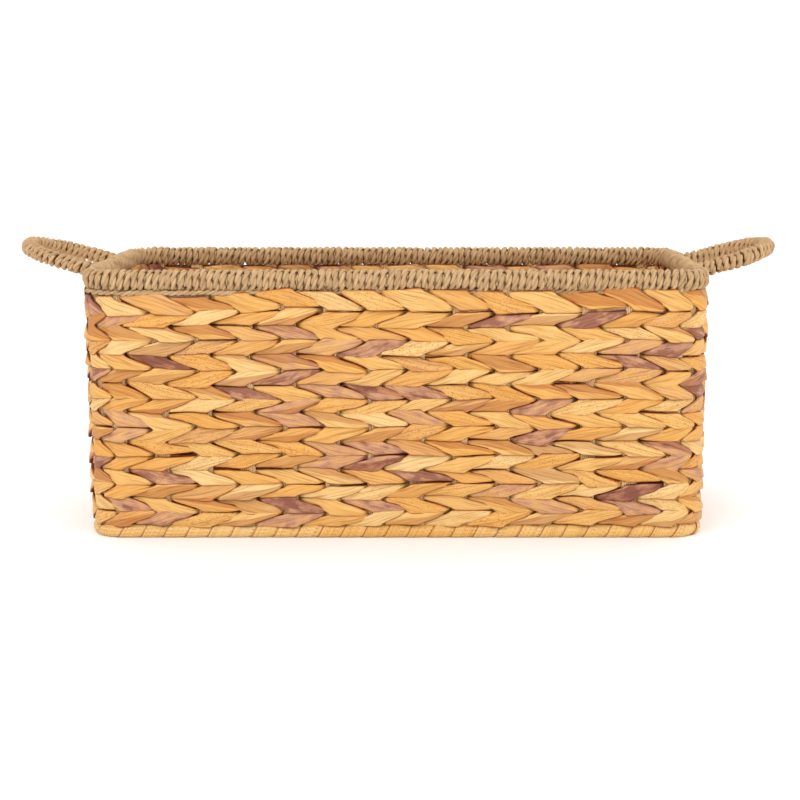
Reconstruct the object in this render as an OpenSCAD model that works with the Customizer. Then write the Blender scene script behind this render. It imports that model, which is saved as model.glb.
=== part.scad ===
// A rectangular bread basket, twined over upright stakes on a welded wire frame.
// Millimetres. +X runs along the length, -Y is the front and +Z is up.
// The origin is on the resting plane, under the middle of the body.

/* [Body] */
// Length of the body over the weave
body_w = 450; // [360:10:560]
// Depth of the body over the weave
body_d = 200; // [160:10:280]
// Height from the resting plane to the top of the rim
body_h = 195.6; // [140:0.2:260]
// Outer radius of the four upright corners
corner_r = 25.5; // [22:0.5:34]

/* [Weave] */
// Twined rows up the walls
wall_rows = 16; // [12:1:20]
// Twined rows across the base
base_rows = 17; // [13:1:19]
// Thickness of a wall row, from inside face to outside face
row_t = 11; // [11:0.5:13]
// Thickness of the woven base
base_t = 8; // [7:0.5:8]
// How far the face of a row swells between its neighbours
row_swell = 2.4; // [1.2:0.1:2.4]

/* [Stakes] */
// Diameter of an upright stake
stake_d = 5; // [4:0.2:5.4]
// Stakes along each long wall
long_stakes = 14; // [10:2:16]
// Stakes along each end wall
end_stakes = 6; // [4:2:8]

/* [Wire frame] */
// Diameter of the rim and base rings
ring_d = 4.4; // [4.2:0.1:4.8]
// Diameter of the corner posts and handle rods
rod_d = 4; // [3:0.1:4]

/* [Rim and base edge] */
// Thickness of the wrapped rim
rim_t = 13.6; // [12.8:0.2:15]
// Height of the wrapped rim
rim_h = 16.2; // [15.4:0.2:18]
// Thickness of the cord wrapped round the rim
rim_cord = 3.4; // [2.6:0.1:3.4]
// Height of the locking strand under the rim
binding_h = 3.5; // [2.5:0.1:5]
// Diameter of the wrapped base edge
edge_d = 9.6; // [9:0.1:11]
// How much of the base edge's round underside is pressed flat
edge_flat = 0.3; // [0.1:0.1:0.5]

/* [Handles] */
// Distance between a handle's two legs
handle_span = 76; // [60:2:90]
// Straight length of a handle's legs
handle_leg = 26; // [16:1:34]
// Diameter over the handle's cord
handle_d = 12.6; // [11:0.2:13]
// Rise of the handles above level, in degrees
handle_tilt = 15.5; // [5:0.5:20]

/* [Hidden] */
$fn = 48;
// The weave's middle line: stakes, rings and rows are all centred on it.
mid_x = (body_w - row_t) / 2;
mid_y = (body_d - row_t) / 2;
mid_r = corner_r - row_t / 2;
straight_x = mid_x - mid_r;
straight_y = mid_y - mid_r;
// Heights of the rim and of the base edge
rim_z = body_h - rim_h / 2;
rim_low = body_h - rim_h;
edge_z = edge_d / 2 - edge_flat;
edge_top = edge_z + edge_d / 2;
core_t = rim_t - 2 * rim_cord;
core_h = rim_h - 2 * rim_cord;
// The rows fill the wall between the base edge and the locking strand.
rows_top = rim_low - binding_h;
row_h = (rows_top - edge_top) / wall_rows;
// Stakes stop half a millimetre short of the wire rings.
wire_gap = 0.5;
stake_low = edge_z + ring_d / 2 + wire_gap;
stake_top = rim_z - ring_d / 2 - wire_gap;
// The woven base panel sits inside the base edge.
panel_x = mid_x - edge_d / 2;
panel_y = mid_y - edge_d / 2;
panel_r = mid_r - edge_d / 2;
base_z = edge_top - base_t / 2 - 0.1;
base_row_w = 2 * panel_y / base_rows;
base_swell = 1.6;
base_stake_d = 4.4;
base_stake_y = mid_y - ring_d / 2 - wire_gap;
long_pitch = 2 * straight_x / (long_stakes - 1);
end_pitch = 2 * straight_y / (end_stakes - 1);
// Extra length of a cutter past the face it cuts
past = 1;

corners = [[1, 1, 0], [-1, 1, 90], [-1, -1, 180], [1, -1, 270]];
post_xy = [
    for (c = corners)
        [c[0] * (straight_x + mid_r * cos(45)), c[1] * (straight_y + mid_r * sin(45))]
];
wicker_tones = ["#e0b070", "#d8a565", "#e6bb7c", "#cf9a62"];

function two_digits(i) = i < 10 ? str("0", i) : str(i);
function wall_name(i) = str("wall_row_", two_digits(i));
function base_name(i) = str("base_row_", two_digits(i));
function long_x(i) = -straight_x + i * long_pitch;
function end_y(i) = -straight_y + i * end_pitch;
function wall_row_z(i) = rows_top - (i - 0.5) * row_h;
function base_row_y(i) = -panel_y + (i - 0.5) * base_row_w;
function tone(i) = wicker_tones[i % len(wicker_tones)];

// Profiles, each centred on the middle line

module stadium(w, h) {
    square([w, h - w], center = true);
    for (end = [-1, 1])
        translate([0, end * (h - w) / 2])
            circle(d = w);
}

// Flat top and bottom, and two faces that swell to the full width at mid height
module barrel(w, h, swell) {
    face_r = (h * h / 4 + swell * swell) / (2 * swell);
    square([w - 2 * swell, h], center = true);
    for (side = [-1, 1])
        intersection() {
            translate([side * (w / 2 - face_r), 0])
                circle(r = face_r);
            translate([side * (w / 2 - swell), 0])
                square([2 * swell, h], center = true);
        }
}

// Sweeps

// Carries a profile round the body at height z, on the weave's middle line.
module round_body(z) {
    translate([0, 0, z]) {
        for (side = [-1, 1]) {
            translate([0, side * mid_y, 0])
                rotate([90, 0, 90])
                    linear_extrude(2 * straight_x, center = true)
                        children();
            translate([side * mid_x, 0, 0])
                rotate([90, 0, 0])
                    linear_extrude(2 * straight_y, center = true)
                        children();
        }
        for (c = corners)
            translate([c[0] * straight_x, c[1] * straight_y, 0])
                rotate([0, 0, c[2]])
                    rotate_extrude(angle = 90)
                        translate([mid_r, 0])
                            children();
    }
}

// Carries a circle along a handle's two legs and round its bow. side is -1 for left.
module along_handle(side, d) {
    mirror([side < 0 ? 1 : 0, 0, 0])
        translate([mid_x, 0, rim_z])
            rotate([0, -handle_tilt, 0]) {
                for (leg = [-1, 1])
                    translate([0, leg * handle_span / 2, 0])
                        rotate([0, 90, 0])
                            cylinder(d = d, h = handle_leg);
                translate([handle_leg, 0, 0])
                    rotate([0, 0, -90])
                        rotate_extrude(angle = 180)
                            translate([handle_span / 2, 0])
                                circle(d = d);
            }
}

module upright(xy, d, low, top) {
    translate([xy[0], xy[1], low])
        cylinder(d = d, h = top - low);
}

// Stakes and posts, also used as the cutters for the holes that they stand in

module long_wall_stakes(side, low, top) {
    for (i = [0:long_stakes - 1])
        upright([long_x(i), side * mid_y], stake_d, low, top);
}

module end_wall_stakes(side, low, top) {
    for (i = [0:end_stakes - 1])
        upright([side * mid_x, end_y(i)], stake_d, low, top);
}

module corner_posts(low, top) {
    for (xy = post_xy)
        upright(xy, rod_d, low, top);
}

module stakes_and_posts(low, top) {
    for (side = [-1, 1]) {
        long_wall_stakes(side, low, top);
        end_wall_stakes(side, low, top);
    }
    corner_posts(low, top);
}

// The base stakes lie across the basket, half a pitch along from the wall stakes.
module cross_stakes() {
    for (i = [0:long_stakes - 2])
        translate([long_x(i + 0.5), 0, base_z])
            rotate([90, 0, 0])
                cylinder(d = base_stake_d, h = 2 * base_stake_y, center = true);
}

module wire_ring(z) {
    round_body(z)
        circle(d = ring_d);
}

// Wire frame

module frame_rim_ring() {
    color("#5a4636")
        wire_ring(rim_z);
}

module frame_base_ring() {
    color("#5a4636")
        wire_ring(edge_z);
}

// Each post's two ends are coped to sit on the rings.
module frame_corner_posts() {
    color("#5a4636")
        difference() {
            corner_posts(edge_z, rim_z);
            wire_ring(edge_z);
            wire_ring(rim_z);
        }
}

module frame_handle(side) {
    color("#5a4636")
        difference() {
            along_handle(side, rod_d);
            wire_ring(rim_z);
        }
}

// Stakes

module stakes_long(side) {
    color("#c9a063")
        long_wall_stakes(side, stake_low, stake_top);
}

module stakes_end(side) {
    color("#c9a063")
        end_wall_stakes(side, stake_low, stake_top);
}

module base_stakes() {
    color("#c9a063")
        cross_stakes();
}

// Woven rows

module wall_row(i) {
    z = wall_row_z(i);
    color(tone(i))
        difference() {
            round_body(z)
                barrel(row_t, row_h, row_swell);
            stakes_and_posts(z - row_h / 2 - past, z + row_h / 2 + past);
        }
}

module panel_outline() {
    square([2 * panel_x, 2 * (panel_y - panel_r)], center = true);
    square([2 * (panel_x - panel_r), 2 * panel_y], center = true);
    for (c = corners)
        translate([c[0] * (panel_x - panel_r), c[1] * (panel_y - panel_r)])
            circle(r = panel_r);
}

module base_row(i) {
    color(tone(i + 1))
        difference() {
            intersection() {
                translate([0, base_row_y(i), base_z])
                    rotate([90, 0, 90])
                        linear_extrude(2 * panel_x, center = true)
                            rotate([0, 0, 90])
                                barrel(base_t, base_row_w, base_swell);
                translate([0, 0, base_z - base_t])
                    linear_extrude(2 * base_t)
                        panel_outline();
            }
            cross_stakes();
        }
}

// Wrapped edges

// A strip wound round the base ring, pressed flat where the basket rests
module base_edge_wrap() {
    color("#dcb377")
        difference() {
            round_body(edge_z)
                difference() {
                    intersection() {
                        circle(d = edge_d);
                        translate([0, edge_flat])
                            square(edge_d, center = true);
                    }
                    circle(d = ring_d);
                }
            stakes_and_posts(stake_low, edge_top + past);
            corner_posts(edge_z, stake_low + past);
            cross_stakes();
        }
}

// Folded stake ends and fibre, packed round the rim ring
module rim_core() {
    color("#a98a5c")
        difference() {
            round_body(rim_z)
                difference() {
                    stadium(core_t, core_h);
                    circle(d = ring_d);
                }
            stakes_and_posts(rim_low, stake_top);
            corner_posts(rim_low, rim_z);
            for (side = [-1, 1])
                along_handle(side, rod_d);
        }
}

module rim_binding() {
    z = rim_low - binding_h / 2;
    color("#c8b184")
        difference() {
            round_body(z)
                barrel(row_t, binding_h, binding_h / 4);
            stakes_and_posts(rows_top - past, rim_low + past);
        }
}

module rim_solid() {
    round_body(rim_z)
        stadium(rim_t, rim_h);
}

module rim_wrap() {
    color("#bea078")
        difference() {
            round_body(rim_z)
                difference() {
                    stadium(rim_t, rim_h);
                    stadium(core_t, core_h);
                }
            stakes_and_posts(rim_low - past, rim_low + rim_cord + past);
            for (side = [-1, 1])
                along_handle(side, rod_d);
        }
}

module handle_wrap(side) {
    color("#bea078")
        difference() {
            along_handle(side, handle_d);
            along_handle(side, rod_d);
            rim_solid();
        }
}

frame_rim_ring();
frame_base_ring();
frame_corner_posts();
frame_handle(-1);  // frame_handle_left
frame_handle(1);  // frame_handle_right
stakes_long(-1);  // stakes_front
stakes_long(1);  // stakes_back
stakes_end(-1);  // stakes_left
stakes_end(1);  // stakes_right
base_stakes();
for (i = [1:wall_rows])
    wall_row(i);
for (i = [1:base_rows])
    base_row(i);
base_edge_wrap();
rim_core();
rim_binding();
rim_wrap();
handle_wrap(-1);  // handle_wrap_left
handle_wrap(1);  // handle_wrap_right
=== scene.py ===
# %% [markdown]
# # A twined bread basket
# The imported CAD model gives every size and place. This file dresses it: strips twined round the
# stakes, cord wound round the rim and handles, a strip wound round the base edge, and ribbed
# bundles in place of the upright rods. The wire, the cross stakes of the base and the packing
# inside the rim stay as the CAD made them.

# %% The frame
import math

import bpy
import numpy as np
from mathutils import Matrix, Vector


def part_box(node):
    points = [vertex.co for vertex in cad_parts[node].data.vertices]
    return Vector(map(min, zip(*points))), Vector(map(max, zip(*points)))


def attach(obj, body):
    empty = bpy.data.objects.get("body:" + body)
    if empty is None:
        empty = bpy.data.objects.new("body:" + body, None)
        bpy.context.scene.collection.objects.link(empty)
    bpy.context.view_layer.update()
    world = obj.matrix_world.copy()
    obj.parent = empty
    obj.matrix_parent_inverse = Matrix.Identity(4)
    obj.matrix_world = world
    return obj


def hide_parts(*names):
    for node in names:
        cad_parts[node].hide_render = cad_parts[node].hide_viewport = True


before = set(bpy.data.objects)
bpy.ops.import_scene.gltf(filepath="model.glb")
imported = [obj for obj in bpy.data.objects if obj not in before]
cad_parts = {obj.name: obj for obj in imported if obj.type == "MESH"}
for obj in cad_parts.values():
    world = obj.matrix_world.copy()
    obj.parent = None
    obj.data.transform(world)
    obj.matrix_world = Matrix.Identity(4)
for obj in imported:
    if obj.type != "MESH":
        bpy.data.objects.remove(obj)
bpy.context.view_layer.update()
print("CAD nodes:", len(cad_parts))

# %% [markdown]
# ## Reading the basket's plan
# The stakes stand on one middle line, a rectangle with round corners. Everything woven or wound
# follows that line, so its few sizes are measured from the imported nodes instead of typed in.

# %% Sizes from the frame
MM = 0.001
LONG_STAKES = 14
END_STAKES = 6
STAKES = 2 * (LONG_STAKES + END_STAKES) + 4  # with the four corner posts

ring_low, ring_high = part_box("frame_rim_ring")
front_low, front_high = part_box("stakes_front")
_, right_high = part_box("stakes_right")
stake_r = (front_high.y - front_low.y) / 2
ring_r = (ring_high.z - ring_low.z) / 2
mid_x = ring_high.x - ring_r
mid_y = ring_high.y - ring_r
straight_x = front_high.x - stake_r
straight_y = right_high.y - stake_r
corner_r = mid_x - straight_x
rim_z = (ring_low.z + ring_high.z) / 2
pitch = 2 * straight_x / (LONG_STAKES - 1)
print("middle line", round(mid_x / MM, 1), round(mid_y / MM, 1), "corner", round(corner_r / MM, 1))
print("stakes and posts on the loop:", STAKES, "one every", round(pitch / MM, 1), "mm")

# %% [markdown]
# ## The middle line as a path
# A path is a mesh of points joined by edges, which Geometry Nodes turn into a curve. Each point
# also knows which way is out of the basket, and its beat: 0 at the first stake, 1 at the next.
# The beat lets the weave stay in step with the stakes although they stand closer at the corners.


# %% Paths
def loop_points(z, per_gap):
    """Points round the middle line, anticlockwise from the front left corner post."""
    half_arc = corner_r * math.pi / 4
    gaps = []
    for half, count in ((straight_x, LONG_STAKES), (straight_y, END_STAKES)) * 2:
        gaps += [half_arc] + [2 * half / (count - 1)] * (count - 1) + [half_arc]
    points = []
    at = 0.0
    for beat, gap in enumerate(gaps):
        for step in range(per_gap):
            place, out = loop_place(at + gap * step / per_gap, z)
            points.append((place, out, beat + step / per_gap))
        at += gap
    return points


def loop_place(at, z):
    """The point at a distance along the middle line, and the way out of the basket there."""
    quarter = corner_r * math.pi / 2
    at += quarter / 2
    turn = -math.pi / 2
    for side in range(4):
        half = (straight_x, straight_y)[side % 2]
        across = (straight_y, straight_x)[side % 2]
        ahead = Vector((-math.sin(turn), math.cos(turn), 0))
        out = Vector((math.cos(turn), math.sin(turn), 0))
        start = out * across - ahead * half
        if at < quarter:
            bend = turn + at / corner_r - math.pi / 2
            normal = Vector((math.cos(bend), math.sin(bend), 0))
            return start + normal * corner_r + Vector((0, 0, z)), normal
        at -= quarter
        if at < 2 * half:
            return start + out * corner_r + ahead * at + Vector((0, 0, z)), out
        at -= 2 * half
        turn += math.pi / 2
    return loop_place(at - quarter / 2, z)


def path_mesh(name, points, closed):
    """A mesh of edges with the out and beat attributes that the trees read."""
    edges = [(i, i + 1) for i in range(len(points) - 1)]
    if closed:
        edges.append((len(points) - 1, 0))
    mesh = bpy.data.meshes.new(name)
    mesh.from_pydata([p[0] for p in points], edges, [])
    out = mesh.attributes.new("out", "FLOAT_VECTOR", "POINT")
    out.data.foreach_set("vector", [c for p in points for c in p[1]])
    beat = mesh.attributes.new("beat", "FLOAT", "POINT")
    beat.data.foreach_set("value", [p[2] for p in points])
    return mesh


def path_length(points):
    """How long a path is, from its first point to its last."""
    return sum((b[0] - a[0]).length for a, b in zip(points, points[1:]))


print("round the middle line:", round(path_length(loop_points(0.0, 4)) / MM), "mm")

# %% [markdown]
# ## Helpers for node trees
# The same small function puts a node into a Geometry Nodes tree or a material. A tree's named
# inputs come from a dictionary, and a modifier sets them by each socket's identifier. Every tree
# ends in the same four nodes, and two of them walk along a path in the same way, so those parts
# are written once.

# %% Helpers
# Short names for the kinds of node, and the settings that many nodes share
MATH = "ShaderNodeMath"
VECTOR = "ShaderNodeVectorMath"
RANGE = "ShaderNodeMapRange"
MIX = "ShaderNodeMix"
NAMED = "GeometryNodeInputNamedAttribute"
STORE = "GeometryNodeStoreNamedAttribute"
RAMP = "ShaderNodeValToRGB"
NOISE = "ShaderNodeTexNoise"
CIRCLE = "GeometryNodeCurvePrimitiveCircle"
XYZ = "ShaderNodeSeparateXYZ"
JOIN = "ShaderNodeCombineXYZ"
TRAIT = "ShaderNodeAttribute"
ARROW = {"data_type": "FLOAT_VECTOR"}
NUMBERS = {"data_type": "FLOAT", "domain": "POINT"}
ARROWS = {"data_type": "FLOAT_VECTOR", "domain": "POINT"}
SMOOTH = {"interpolation_type": "SMOOTHSTEP"}
TINT = {"data_type": "RGBA", "blend_type": "MULTIPLY"}


def put(tree, kind, feeds=(), stops=(), **settings):
    """Adds a node with its settings. A feed is a value, a socket, or a node's first output.
    Stops are the places and hex colours along a colour ramp."""
    node = tree.nodes.new(kind)
    for key, value in settings.items():
        setattr(node, key, value)
    for _ in stops[2:]:
        node.color_ramp.elements.new(0.5)
    for index, (place, code) in enumerate(stops):
        node.color_ramp.elements[index].position = place
        node.color_ramp.elements[index].color = linear(code)
    for key, value in feeds.items() if isinstance(feeds, dict) else enumerate(feeds):
        if isinstance(value, bpy.types.Node):
            value = value.outputs[0]
        if isinstance(value, bpy.types.NodeSocket):
            tree.links.new(value, node.inputs[key])
        elif value is not None:
            node.inputs[key].default_value = value
    return node


def new_tree(name, inputs):
    """A Geometry Nodes tree that takes a path and these named inputs, and its input node."""
    tree = bpy.data.node_groups.new(name, "GeometryNodeTree")
    tree.interface.new_socket("Geometry", in_out="OUTPUT", socket_type="NodeSocketGeometry")
    tree.interface.new_socket("Path", in_out="INPUT", socket_type="NodeSocketGeometry")
    for label, start in inputs.items():
        kind = {float: "Float", int: "Int", str: "Material"}[type(start)]
        socket = tree.interface.new_socket(label, in_out="INPUT", socket_type="NodeSocket" + kind)
        if kind != "Material":
            socket.default_value = start
    return tree, put(tree, "NodeGroupInput").outputs


def close_tree(tree, shape, finish):
    """Ends a tree: its copies become real, and its shape smooth and finished."""
    shape = put(tree, "GeometryNodeRealizeInstances", [shape])
    shape = put(tree, "GeometryNodeSetShadeSmooth", [shape])
    shape = put(tree, "GeometryNodeSetMaterial", {"Geometry": shape, "Material": finish})
    put(tree, "NodeGroupOutput", [shape])


def walk_path(tree, path, share):
    """The place, the way ahead, the way out and the way up at a share of a path's length."""
    course = put(tree, "GeometryNodeMeshToCurve", [path])
    walk = put(tree, "GeometryNodeSampleCurve", {"Curves": course}, mode="FACTOR", **ARROW)
    out = put(tree, NAMED, {"Name": "out"}, **ARROW).outputs[0]
    tree.links.new(out, [i for i in walk.inputs if i.name == "Value" and i.enabled][0])
    tree.links.new(share, walk.inputs["Factor"])
    out = [o for o in walk.outputs if o.name == "Value" and o.enabled][0]
    ahead = walk.outputs["Tangent"]
    up = put(tree, VECTOR, [out, ahead], operation="CROSS_PRODUCT")
    return walk.outputs["Position"], ahead, out, up


def grow(name, path, tree, body="root", **values):
    """Runs a tree on a path mesh and keeps the result as a plain mesh object."""
    guide = bpy.data.objects.new(name + "_path", path)
    bpy.context.scene.collection.objects.link(guide)
    grower = guide.modifiers.new("grow", "NODES")
    grower.node_group = tree
    sockets = {i.name: i.identifier for i in tree.interface.items_tree if i.in_out == "INPUT"}
    for label, value in values.items():
        grower[sockets[label.replace("_", " ").capitalize()]] = value
    depsgraph = bpy.context.evaluated_depsgraph_get()
    mesh = bpy.data.meshes.new_from_object(guide.evaluated_get(depsgraph))
    bpy.data.objects.remove(guide)
    mesh.name = name
    for spare in ("out", "beat", "centre", "up", "ring", "strand", "spread", "leaf_inside"):
        if spare in mesh.attributes:
            mesh.attributes.remove(mesh.attributes[spare])
    piece = bpy.data.objects.new(name, mesh)
    bpy.context.scene.collection.objects.link(piece)
    face_out(mesh)
    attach(piece, body)
    return piece


def face_out(mesh):
    """Flips the faces of a closed mesh that came out inside out."""
    places = np.empty(len(mesh.vertices) * 3)
    mesh.vertices.foreach_get("co", places)
    mesh.calc_loop_triangles()
    corners = np.empty(len(mesh.loop_triangles) * 3, dtype=np.int32)
    mesh.loop_triangles.foreach_get("vertices", corners)
    a, b, c = places.reshape(-1, 3)[corners.reshape(-1, 3)].transpose(1, 0, 2)
    if np.einsum("ij,ij->", a, np.cross(b, c)) < 0:
        mesh.flip_normals()


def linear(code):
    """An sRGB hex colour as the linear colour that shaders want."""
    parts = [int(code[i:i + 2], 16) / 255 for i in (1, 3, 5)]
    return [c / 12.92 if c <= 0.04045 else ((c + 0.055) / 1.055) ** 2.4 for c in parts] + [1.0]

# %% [markdown]
# ## Camera, floor and light
# A long lens from the front and a little above, on a pale floor in soft studio light. The lens
# is shifted a touch, so that the basket sits in the frame as it would on a product page.

# %% Camera and light
scene = bpy.context.scene
scene.view_settings.view_transform = "Standard"

DIP = 10.39  # how far the camera looks down, in degrees
camera_data = bpy.data.cameras.new("camera")
camera_data.lens = 70.4
camera_data.shift_x = -0.0437
camera = bpy.data.objects.new("camera", camera_data)
camera.location = (0.028, -1.2, 0.304)
camera.rotation_euler = (math.radians(90 - DIP), 0, 0)
scene.collection.objects.link(camera)
scene.camera = camera

world = bpy.data.worlds.new("studio")
world.use_nodes = True
world.node_tree.nodes["Background"].inputs["Color"].default_value = linear("#ffffff")
world.node_tree.nodes["Background"].inputs["Strength"].default_value = 1.14
scene.world = world

LAMPS = {
    "key": ((-0.8, -1.3, 1.5), 1.2, 8.8),
    "fill": ((1.2, -1.1, 0.9), 1.2, 4.0),
    "back": ((0.2, 1.2, 1.4), 1.4, 5.0),
}
for name, (place, size, power) in LAMPS.items():
    lamp = bpy.data.lights.new(name, "AREA")
    lamp.size = size
    lamp.energy = power
    holder = bpy.data.objects.new(name, lamp)
    holder.location = place
    aim = Vector((0, 0, 0.1)) - Vector(place)
    holder.rotation_euler = aim.to_track_quat("-Z", "Y").to_euler()
    scene.collection.objects.link(holder)

FLOOR = 60.0
floor_mesh = bpy.data.meshes.new("floor")
floor_mesh.from_pydata([(x * FLOOR, y * FLOOR, 0) for x, y in ((-1, -1), (1, -1), (1, 1), (-1, 1))],
                       [], [(0, 1, 2, 3)])
floor = bpy.data.objects.new("floor", floor_mesh)
scene.collection.objects.link(floor)
paint = bpy.data.materials.new("pale studio floor")
paint.use_nodes = True
paint.node_tree.nodes["Principled BSDF"].inputs["Base Color"].default_value = linear("#fcfcfc")
paint.node_tree.nodes["Principled BSDF"].inputs["Roughness"].default_value = 0.9
floor_mesh.materials.append(paint)
print("camera and", len(LAMPS), "lamps")

# %% [markdown]
# ## Dried water hyacinth
# The stems are cut, dried and pressed flat. They dry to golden tan, with some pinkish, orange and
# brown lengths, fine ribs along them, and a satin skin. Each strip is painted darker and redder at its
# edges, where it turns under its neighbour: painted shade for the gaps between leaves. The tree below
# stores where on the strip a point is: along it in metres, across it from -1 to 1, and three random
# numbers for each leaf.


# %% Hyacinth material
def new_material(name):
    """A material with its node tree and its shader."""
    material = bpy.data.materials.new(name)
    material.use_nodes = True
    return material, material.node_tree, material.node_tree.nodes["Principled BSDF"]


hyacinth, tree, shader = new_material("dried water hyacinth")
leaf = put(tree, TRAIT, attribute_name="leaf")
along = put(tree, TRAIT, attribute_name="along").outputs["Fac"]
across = put(tree, TRAIT, attribute_name="across").outputs["Fac"]
tone, mark, fold = put(tree, XYZ, [leaf.outputs["Vector"]]).outputs
# Strip space in millimetres: long and narrow, so that noise in it runs with the fibres.
run = put(tree, MATH, [along, 1000.0], operation="MULTIPLY")
fibre = put(tree, TRAIT, attribute_name="fibre").outputs["Fac"]
breadth = put(tree, MATH, [fibre, 1000.0], operation="MULTIPLY")
page = put(tree, MATH, [tone, 400.0], operation="MULTIPLY")
strip = put(tree, JOIN, [run, breadth, page])
streaky = put(tree, VECTOR, [strip, (0.035, 0.9, 1.0)], operation="MULTIPLY")
streaks = put(tree, NOISE, {"Vector": streaky, "Scale": 1.0, "Detail": 5.0, "Roughness": 0.6})
cloudy = put(tree, VECTOR, [strip, (0.10, 0.22, 1.0)], operation="MULTIPLY")
clouds = put(tree, NOISE, {"Vector": cloudy, "Scale": 1.0, "Detail": 3.0})
speckly = put(tree, VECTOR, [strip, (0.7, 1.3, 1.0)], operation="MULTIPLY")
speckles = put(tree, NOISE, {"Vector": speckly, "Scale": 1.0, "Detail": 2.0})
# The leaf's own tone drifts with the clouds, so one leaf may run from gold to brown.
drift = put(tree, MATH, [clouds, 0.42, -0.21], operation="MULTIPLY_ADD")
shade = put(tree, MATH, [tone, drift], operation="ADD")
body = put(tree, RAMP, [shade], stops=[
    (0.02, "#e6c386"), (0.20, "#e3b66e"), (0.42, "#deab60"), (0.60, "#dfa553"), (0.80, "#d8a667"),
    (0.89, "#cb9a72"), (0.95, "#b5836a"), (0.995, "#945f4a")])
streak_tint = put(tree, RAMP, [streaks], stops=[
    (0.28, "#a87440"), (0.46, "#f0e2cc"), (0.60, "#ffffff"), (0.80, "#fff6de")])
tinted = put(tree, MIX, {0: 0.75, 6: body, 7: streak_tint}, **TINT)
# Orange-brown mottling on some leaves
mottle = put(tree, RANGE, [speckles, 0.56, 0.68, 0.0, 1.0])
mottled_leaf = put(tree, RANGE, [mark, 0.66, 0.90, 0.0, 0.8])
mottle = put(tree, MATH, [mottle, mottled_leaf], operation="MULTIPLY")
spotted = put(tree, MIX, {0: mottle, 6: tinted.outputs[2], 7: linear("#a8622c")}, data_type="RGBA")
# A lengthwise fold: one side of it is darker on some leaves.
fold_at = put(tree, RANGE, [fold, 0.0, 1.0, -0.7, 0.7])
beside = put(tree, MATH, [across, fold_at], operation="SUBTRACT")
beside = put(tree, RANGE, [beside, -0.03, 0.03, 0.0, 1.0])
folded_leaf = put(tree, RANGE, [mark, 0.42, 0.30, 0.0, 0.55])
fold_mask = put(tree, MATH, [beside, folded_leaf], operation="MULTIPLY")
folded = put(tree, MIX, {0: fold_mask, 6: spotted.outputs[2], 7: linear("#c08a6a")}, **TINT)
# Painted shade: the edges and seams, where a leaf turns under its neighbour, are painted dark and
# reddish.
edge = put(tree, MATH, [across], operation="ABSOLUTE")
edge = put(tree, RANGE, [edge, 0.78, 0.98, 0.0, 1.0], **SMOOTH)
seam = put(tree, TRAIT, attribute_name="seam").outputs["Fac"]
seam = put(tree, RANGE, [seam, 0.82, 0.97, 0.0, 1.0], **SMOOTH)
edge = put(tree, MATH, [edge, seam], operation="MAXIMUM")
gap_shaded = put(tree, MIX, {0: edge, 6: folded.outputs[2], 7: linear("#ac6c3c")}, **TINT)
tree.links.new(gap_shaded.outputs[2], shader.inputs["Base Color"])
# Ribs half a millimetre apart, and broader creases
ribs = put(tree, VECTOR, [strip, (0.02, 2.2, 1.0)], operation="MULTIPLY")
ribs = put(tree, NOISE, {"Vector": ribs, "Scale": 1.0, "Detail": 3.0})
relief = put(tree, MATH, [ribs, 0.5, streaks], operation="MULTIPLY_ADD")
bump = put(tree, "ShaderNodeBump", {"Strength": 0.55, "Distance": 0.0006, "Height": relief})
tree.links.new(bump.outputs[0], shader.inputs["Normal"])
shader.inputs["Roughness"].default_value = 0.52
shader.inputs["Specular IOR Level"].default_value = 0.35
print("hyacinth nodes:", len(tree.nodes))

# %% [markdown]
# ## Twining
# A row is two flat strips that take turns in front of the stakes. Between two stakes they change
# places, one high and one low, so each strip shows as a row of leaves that lean one way and meet
# along slanted seams. The next row down is crossed the other way, and its leaves lean back.
# That could be modelled leaf by leaf. One rule gives the whole row instead: both strips follow
# the middle line half a turn apart, one turn takes two stakes, and Geometry Nodes work out the
# strip's section at every point: a thin leaf in front of a stake, and a wedge where it dives.


# %% The twining tree
twine, take = new_tree("twined strips", {
    "Stakes": 44, "Stake radius": 0.0025, "Leaf height": 0.0053, "Leaf depth": 0.0030,
    "Crossing depth": 0.0044, "Overlap": 0.0008, "Seam start": 0.05, "Seam end": 0.90,
    "Curve": 1.25, "Belly": 1.16, "Lean": 1.0, "Wander": 0.55, "Height spread": 0.15,
    "Lift spread": 0.0011, "Bulge spread": 0.0008, "Tilt spread": 0.18, "Tilt": -0.06,
    "Sag": 0.0065, "Seed": 1, "Points round": 16, "Finish": ""})
SEAM_RUN = -1.88  # a seam runs from a leaf's one edge nearly to its other, in half heights
NARROWING = -0.26  # how much of its height a leaf loses by the far end of its turn

# Two copies of the path, one for each strip, half a turn apart
line = put(twine, "GeometryNodeMeshToCurve", [take["Path"]])
pair = put(twine, "GeometryNodeDuplicateElements", {"Geometry": line, "Amount": 2}, domain="SPLINE")
strip_index = pair.outputs["Duplicate Index"]
kept = put(twine, STORE, {"Geometry": pair, "Name": "strand", "Value": strip_index}, **NUMBERS)
here = put(twine, "GeometryNodeInputPosition")
out = put(twine, NAMED, {"Name": "out"}, **ARROW)
ahead = put(twine, "GeometryNodeInputTangent")
up = put(twine, VECTOR, [out, ahead], operation="CROSS_PRODUCT")
which = put(twine, NAMED, {"Name": "strand"}, data_type="FLOAT")
beat = put(twine, NAMED, {"Name": "beat"}, data_type="FLOAT")
beat = put(twine, MATH, [beat, which], operation="ADD")
sway = put(twine, NOISE, {"Vector": here, "Scale": 26.0, "Detail": 1.0})
sway = put(twine, MATH, [sway, 0.5], operation="SUBTRACT")
swayed = put(twine, MATH, [sway, take["Wander"], beat], operation="MULTIPLY_ADD")
length = put(twine, "GeometryNodeSplineParameter").outputs["Length"]
print("twining inputs:", len(twine.interface.items_tree) - 2)

# %% [markdown]
# No two leaves are alike. Every turn of a strip draws three random numbers for its colour and
# three for its size and place. They change over while the strip is hidden behind a stake. The
# face inside the basket has its own colours, which change while the strip is in front.


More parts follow.
